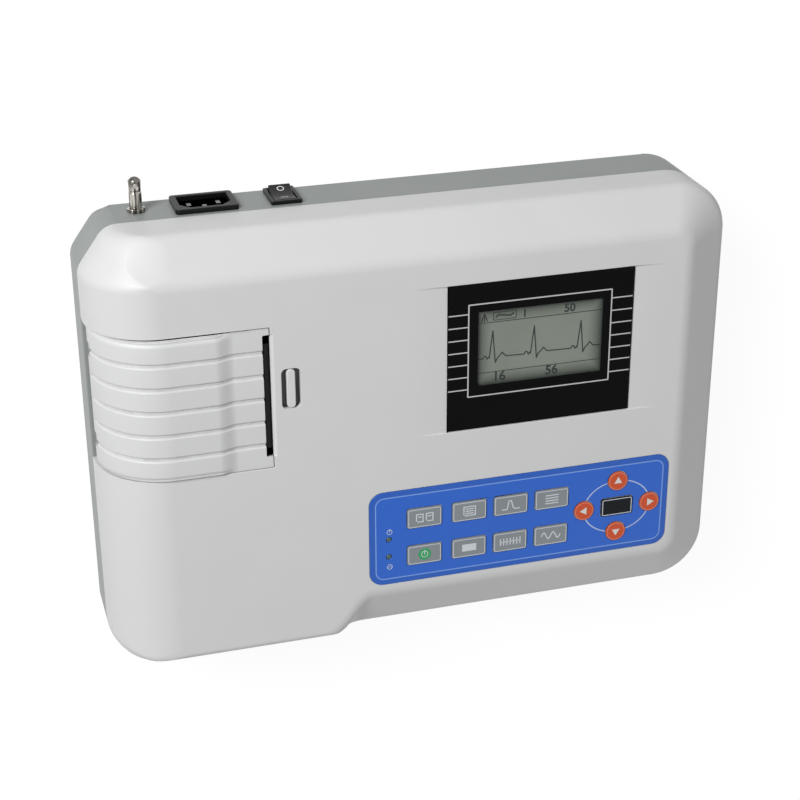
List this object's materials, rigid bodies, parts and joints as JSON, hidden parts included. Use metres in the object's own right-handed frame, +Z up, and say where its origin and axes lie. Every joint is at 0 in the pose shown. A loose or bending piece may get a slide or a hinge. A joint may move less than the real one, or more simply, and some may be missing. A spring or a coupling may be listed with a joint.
{
  "type": "tabletop ecg recorder",
  "caption": "Flat desktop heart-trace recorder with a sloped white case, small screen, keypad, hinged paper-printer door and rear mains inlet.",
  "frame": {"origin": "on the table under the middle of the case with its earth post", "axes": "+X to the user's right, +Y to the rear wall with the mains inlet, +Z up out of the face"},
  "size_m": [0.315, 0.237, 0.074],
  "materials": {
    "white_shell": "fine moulded grain",
    "grey_shell": "fine moulded grain",
    "grey_cover": "fine moulded grain",
    "white_door": "fine moulded grain",
    "white_latch": "satin",
    "white_tray": "satin",
    "screws": "zinc plated",
    "foot_rubber": "matt",
    "battery_wrap": "shrink film",
    "black_panel": "printed film",
    "lens": "clear",
    "lcd": "reflective screen",
    "keypad_blue": "printed polyester film",
    "key_grey": "embossed film",
    "key_orange": "embossed film",
    "key_black": "embossed film",
    "lamps": "diffused",
    "board_green": "solder mask",
    "transformer_tape": "polyester tape",
    "black_plastic": "moulded",
    "black_rocker": "moulded",
    "nickel": "nickel plated",
    "socket_shell": "tin plated",
    "steel": "ground",
    "platen_rubber": "ground",
    "white_gear": "acetal",
    "brass_pinion": "turned",
    "motor_can": "drawn steel",
    "head_metal": "extruded",
    "zinc_sheet": "zinc plated",
    "paper": "thermal paper"
  },
  "bodies": {
    "case": {"upper_case": "white_shell", "lower_case": "grey_shell", "case_screws": "screws", "rubber_feet": "foot_rubber", "battery_pack": "battery_wrap", "battery_cover": "grey_cover", "battery_cover_screws": "screws", "display_panel": "black_panel", "display_lens": "lens", "lcd_module": "lcd", "keypad_sheet": "keypad_blue", "status_lamps": "lamps", "key_board": "board_green", "main_board": "board_green", "power_board": "board_green", "transformer": "transformer_tape", "board_screws": "screws", "inlet_housing": "black_plastic", "inlet_pins": "nickel", "switch_housing": "black_plastic", "earth_post": "nickel", "earth_nut": "nickel", "lead_socket": "socket_shell", "jack_posts": "nickel", "door_pin": "steel", "stepper_motor": "motor_can", "print_head": "head_metal", "head_springs": "steel", "printer_bracket": "zinc_sheet", "paper_tray": "white_tray", "paper_strip": "paper"},
    "door": {"printer_door": "white_door"},
    "platen": {"platen_shaft": "steel", "platen_sleeve": "platen_rubber", "platen_gear": "white_gear"},
    "idler": {"idler_gear": "white_gear"},
    "pinion": {"motor_pinion": "brass_pinion"},
    "roll": {"paper_spindle": "white_gear", "paper_roll": "paper"},
    "latch": {"door_latch": "white_latch"},
    "rocker": {"switch_rocker": "black_rocker"},
    "key_lead_cap": {"key_lead": "key_grey"},
    "key_start_cap": {"key_start": "key_grey"},
    "key_menu_cap": {"key_menu": "key_grey"},
    "key_select_cap": {"key_select": "key_grey"},
    "key_power_cap": {"key_power": "key_grey"},
    "key_stop_cap": {"key_stop": "key_grey"},
    "key_speed_cap": {"key_speed": "key_grey"},
    "key_filter_cap": {"key_filter": "key_grey"},
    "key_up_cap": {"key_up": "key_orange"},
    "key_down_cap": {"key_down": "key_orange"},
    "key_left_cap": {"key_left": "key_orange"},
    "key_right_cap": {"key_right": "key_orange"},
    "key_set_cap": {"key_set": "key_black"}
  },
  "joints": [
    {"name": "door_hinge", "type": "hinge", "parent": "case", "child": "door", "pos_m": [-0.1518, 0.0205, 0.0402], "axis": [0, -1, 0], "range_deg": [0, 100]},
    {"name": "platen_spin", "type": "hinge", "parent": "door", "child": "platen", "pos_m": [-0.0853, 0.0205, 0.061], "axis": [0, -1, 0], "continuous": true},
    {"name": "idler_spin", "type": "hinge", "parent": "case", "child": "idler", "pos_m": [-0.07676, 0.0515, 0.04493], "axis": [0, -1, 0], "continuous": true},
    {"name": "pinion_spin", "type": "hinge", "parent": "case", "child": "pinion", "pos_m": [-0.06299, 0.0515, 0.03529], "axis": [0, -1, 0], "continuous": true},
    {"name": "roll_spin", "type": "hinge", "parent": "case", "child": "roll", "pos_m": [-0.1205, 0.0205, 0.036], "axis": [0, -1, 0], "continuous": true},
    {"name": "latch_slide", "type": "slide", "parent": "case", "child": "latch", "axis": [1, 0, 0], "range_m": [0, 0.002], "stiffness_N_per_m": 300, "springref_m": -0.002},
    {"name": "rocker_tilt", "type": "hinge", "parent": "case", "child": "rocker", "pos_m": [-0.0568, 0.1015, 0.0214], "axis": [-1, 0, 0], "range_deg": [0, 18]},
    {"name": "key_lead_press", "type": "slide", "parent": "case", "child": "key_lead_cap", "axis": [0, 0, -1], "range_m": [0, 0.0004], "stiffness_N_per_m": 1000, "springref_m": -0.0002},
    {"name": "key_start_press", "type": "slide", "parent": "case", "child": "key_start_cap", "axis": [0, 0, -1], "range_m": [0, 0.0004], "stiffness_N_per_m": 1000, "springref_m": -0.0002},
    {"name": "key_menu_press", "type": "slide", "parent": "case", "child": "key_menu_cap", "axis": [0, 0, -1], "range_m": [0, 0.0004], "stiffness_N_per_m": 1000, "springref_m": -0.0002},
    {"name": "key_select_press", "type": "slide", "parent": "case", "child": "key_select_cap", "axis": [0, 0, -1], "range_m": [0, 0.0004], "stiffness_N_per_m": 1000, "springref_m": -0.0002},
    {"name": "key_power_press", "type": "slide", "parent": "case", "child": "key_power_cap", "axis": [0, 0, -1], "range_m": [0, 0.0004], "stiffness_N_per_m": 1000, "springref_m": -0.0002},
    {"name": "key_stop_press", "type": "slide", "parent": "case", "child": "key_stop_cap", "axis": [0, 0, -1], "range_m": [0, 0.0004], "stiffness_N_per_m": 1000, "springref_m": -0.0002},
    {"name": "key_speed_press", "type": "slide", "parent": "case", "child": "key_speed_cap", "axis": [0, 0, -1], "range_m": [0, 0.0004], "stiffness_N_per_m": 1000, "springref_m": -0.0002},
    {"name": "key_filter_press", "type": "slide", "parent": "case", "child": "key_filter_cap", "axis": [0, 0, -1], "range_m": [0, 0.0004], "stiffness_N_per_m": 1000, "springref_m": -0.0002},
    {"name": "key_up_press", "type": "slide", "parent": "case", "child": "key_up_cap", "axis": [0, 0, -1], "range_m": [0, 0.0004], "stiffness_N_per_m": 1000, "springref_m": -0.0002},
    {"name": "key_down_press", "type": "slide", "parent": "case", "child": "key_down_cap", "axis": [0, 0, -1], "range_m": [0, 0.0004], "stiffness_N_per_m": 1000, "springref_m": -0.0002},
    {"name": "key_left_press", "type": "slide", "parent": "case", "child": "key_left_cap", "axis": [0, 0, -1], "range_m": [0, 0.0004], "stiffness_N_per_m": 1000, "springref_m": -0.0002},
    {"name": "key_right_press", "type": "slide", "parent": "case", "child": "key_right_cap", "axis": [0, 0, -1], "range_m": [0, 0.0004], "stiffness_N_per_m": 1000, "springref_m": -0.0002},
    {"name": "key_set_press", "type": "slide", "parent": "case", "child": "key_set_cap", "axis": [0, 0, -1], "range_m": [0, 0.0004], "stiffness_N_per_m": 1000, "springref_m": -0.0002}
  ],
  "couplings": [
    {"joint": "platen_spin", "follows": "roll_spin", "ratio": 4.0741},
    {"joint": "idler_spin", "follows": "roll_spin", "ratio": -2.1569},
    {"joint": "pinion_spin", "follows": "roll_spin", "ratio": 5.2381}
  ]
}
